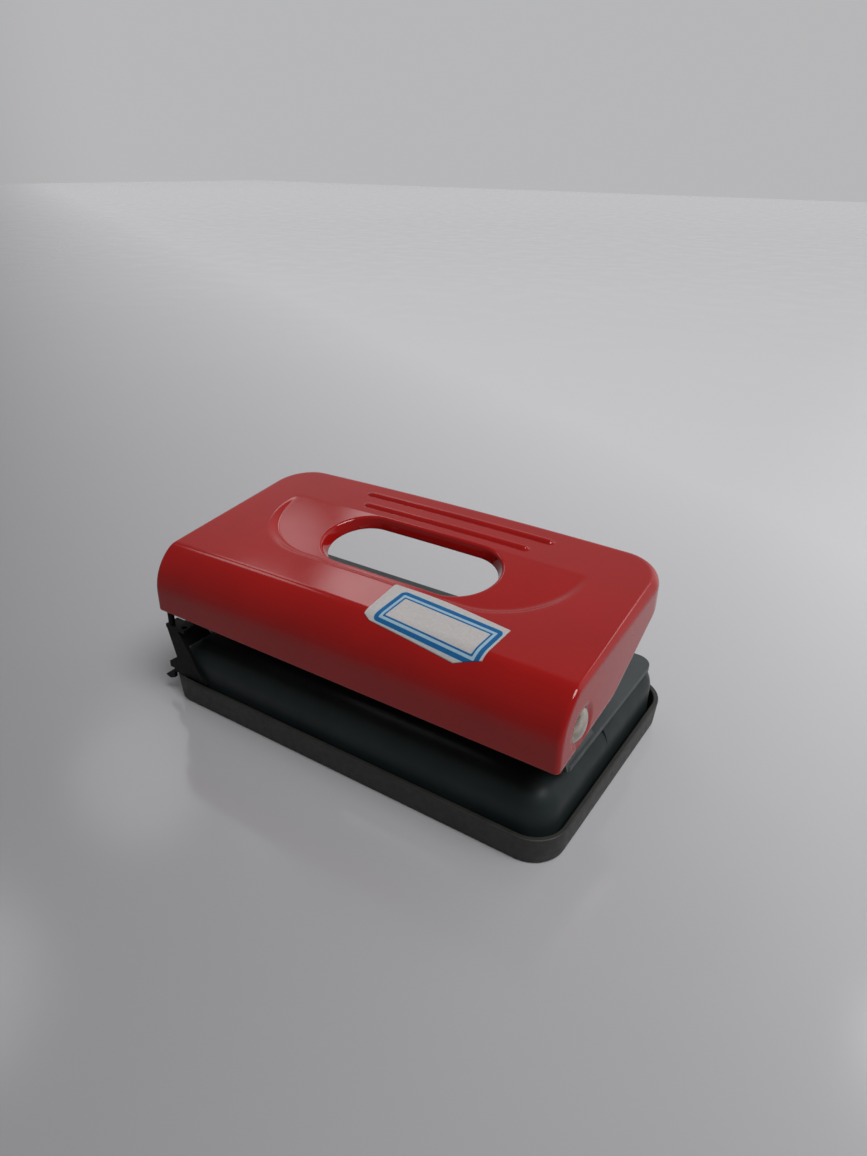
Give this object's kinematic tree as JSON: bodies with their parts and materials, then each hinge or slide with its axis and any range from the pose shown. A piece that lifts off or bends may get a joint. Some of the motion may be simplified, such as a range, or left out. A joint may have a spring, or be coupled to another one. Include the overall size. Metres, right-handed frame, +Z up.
{
  "type": "two-hole desk paper punch",
  "caption": "Hand-pressed desk punch: a pressed steel lever on side rivets drives sprung pins through paper above a chip tray, with a sliding paper guide.",
  "frame": {"origin": "the middle of the chip tray's flat underside, on the surface it stands on", "axes": "+X along the length towards the end away from the paper guide, -Y towards the user's side where paper goes in, +Z up"},
  "size_m": [0.1209, 0.0732, 0.0517],
  "materials": {
    "lever_enamel": "worn satin oxblood red enamel",
    "base_enamel": "satin blue-grey enamel",
    "frame_enamel": "satin grey enamel",
    "tray_plastic": "soft matte black plastic",
    "guide_plastic": "matte grey plastic",
    "plain_steel": "dull zinc-plated steel",
    "pin_steel": "ground hardened steel",
    "spring_steel": "drawn spring steel",
    "rivet_steel": "nickel-plated steel, slightly tarnished",
    "label_paper": "blank white paper sticker"
  },
  "bodies": {
    "tray": {"chip_tray": "tray_plastic"},
    "base": {"base_plate": "base_enamel", "guide_frame": "frame_enamel", "guide_rail": "plain_steel", "guide_spring": "spring_steel", "bracket_rivets": "plain_steel", "frame_rivets": "plain_steel", "pin_bracket_left": "plain_steel", "pin_bracket_right": "plain_steel", "pin_spring_left": "spring_steel", "pin_spring_right": "spring_steel", "pivot_rivet_left": "rivet_steel", "pivot_rivet_right": "rivet_steel", "pivot_washer_left": "plain_steel", "pivot_washer_right": "plain_steel"},
    "lever": {"lever": "lever_enamel", "price_label": "label_paper"},
    "pin_left": {"punch_pin_left": "pin_steel", "pin_clip_left": "spring_steel"},
    "pin_right": {"punch_pin_right": "pin_steel", "pin_clip_right": "spring_steel"},
    "guide": {"paper_guide": "guide_plastic"}
  },
  "joints": [
    {"name": "base_lift", "type": "slide", "parent": "tray", "child": "base", "axis": [0, 0, 1], "range_m": [0, 0.015]},
    {"name": "lever_press", "type": "hinge", "parent": "base", "child": "lever", "pos_m": [0, -0.026, 0.033], "axis": [-1, 0, 0], "range_deg": [0, 22], "stiffness_Nm_per_rad": 0.61, "springref_deg": -15.13},
    {"name": "pin_left_drop", "type": "slide", "parent": "base", "child": "pin_left", "axis": [0, 0, -1], "range_m": [0, 0.0045], "deforming": ["pin_spring_left"]},
    {"name": "pin_right_drop", "type": "slide", "parent": "base", "child": "pin_right", "axis": [0, 0, -1], "range_m": [0, 0.0045], "deforming": ["pin_spring_right"]},
    {"name": "guide_slide", "type": "slide", "parent": "base", "child": "guide", "axis": [-1, 0, 0], "range_m": [0, 0.0979]}
  ],
  "couplings": [
    {"joint": "pin_left_drop", "follows": "lever_press", "m_per_rad": 0.01138},
    {"joint": "pin_right_drop", "follows": "lever_press", "m_per_rad": 0.01138}
  ]
}
